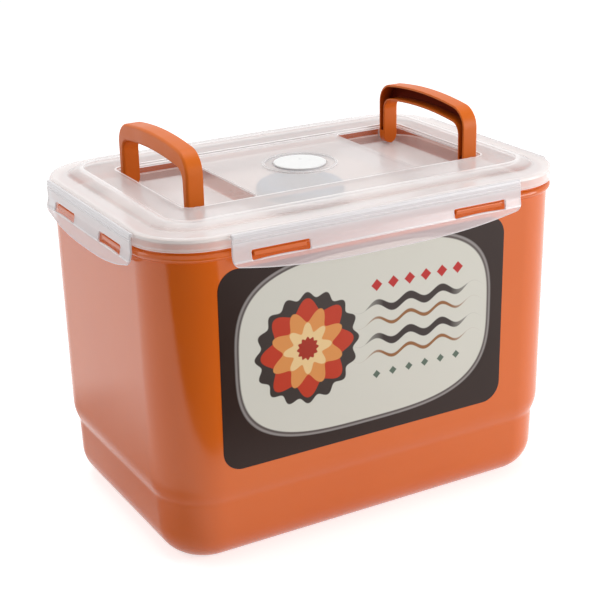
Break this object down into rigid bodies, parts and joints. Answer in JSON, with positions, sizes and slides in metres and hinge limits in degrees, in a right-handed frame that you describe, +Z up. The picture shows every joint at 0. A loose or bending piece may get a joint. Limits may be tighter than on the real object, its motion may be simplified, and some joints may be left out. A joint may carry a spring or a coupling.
{
  "type": "kimchi container",
  "caption": "Rectangular food tub with a stepped base, a frosted clip-on lid with locking flaps, folding lid handles, a vent cap and an inner press plate with a valve.",
  "frame": {"origin": "middle of the tub's base, on the surface that it stands on", "axes": "+X along the long side, towards the right when the label is seen from the front; +Y towards the back; +Z up"},
  "size_m": [0.3536, 0.2416, 0.2965],
  "materials": {
    "clay_plastic": "smooth moulded polypropylene",
    "label_film": "printed film, satin",
    "frosted_plastic": "frosted, see-through polypropylene",
    "clear_silicone": "milky silicone",
    "white_plastic": "smooth",
    "slate_silicone": "satin silicone"
  },
  "bodies": {
    "tub": {"tub": "clay_plastic", "front_label": "label_film"},
    "lid": {"lid_shell": "frosted_plastic", "lid_gasket": "clear_silicone"},
    "vent_cap": {"vent_cap": "white_plastic", "vent_seal": "clear_silicone"},
    "flap_front": {"flap_front": "frosted_plastic"},
    "flap_back": {"flap_back": "frosted_plastic"},
    "flap_left": {"flap_left": "frosted_plastic"},
    "flap_right": {"flap_right": "frosted_plastic"},
    "handle_left": {"handle_left": "clay_plastic"},
    "handle_right": {"handle_right": "clay_plastic"},
    "press_plate": {"press_plate": "frosted_plastic", "press_gasket": "clear_silicone"},
    "valve_cap": {"valve_cap": "slate_silicone", "valve_seal": "clear_silicone"}
  },
  "joints": [
    {"name": "lid_lift", "type": "slide", "parent": "tub", "child": "lid", "axis": [0, 0, 1], "range_m": [0, 0.08]},
    {"name": "flap_front_hinge", "type": "hinge", "parent": "lid", "child": "flap_front", "pos_m": [0, -0.1166, 0.2498], "axis": [-1, 0, 0], "range_deg": [0, 120]},
    {"name": "flap_back_hinge", "type": "hinge", "parent": "lid", "child": "flap_back", "pos_m": [0, 0.1166, 0.2498], "axis": [1, 0, 0], "range_deg": [0, 120]},
    {"name": "flap_left_hinge", "type": "hinge", "parent": "lid", "child": "flap_left", "pos_m": [-0.1726, 0, 0.2498], "axis": [0, 1, 0], "range_deg": [0, 120]},
    {"name": "flap_right_hinge", "type": "hinge", "parent": "lid", "child": "flap_right", "pos_m": [0.1726, 0, 0.2498], "axis": [0, -1, 0], "range_deg": [0, 120]},
    {"name": "handle_left_fold", "type": "hinge", "parent": "lid", "child": "handle_left", "pos_m": [-0.1156, 0, 0.2497], "axis": [0, 1, 0], "range_deg": [0, 90]},
    {"name": "handle_right_fold", "type": "hinge", "parent": "lid", "child": "handle_right", "pos_m": [0.1156, 0, 0.2497], "axis": [0, -1, 0], "range_deg": [0, 90]},
    {"name": "vent_lift", "type": "slide", "parent": "lid", "child": "vent_cap", "axis": [0, 0, 1], "range_m": [0, 0.0025]},
    {"name": "press_slide", "type": "slide", "parent": "tub", "child": "press_plate", "axis": [0, 0, 1], "range_m": [-0.15, 0]},
    {"name": "valve_lift", "type": "slide", "parent": "press_plate", "child": "valve_cap", "axis": [0, 0, 1], "range_m": [0, 0.0045]}
  ]
}
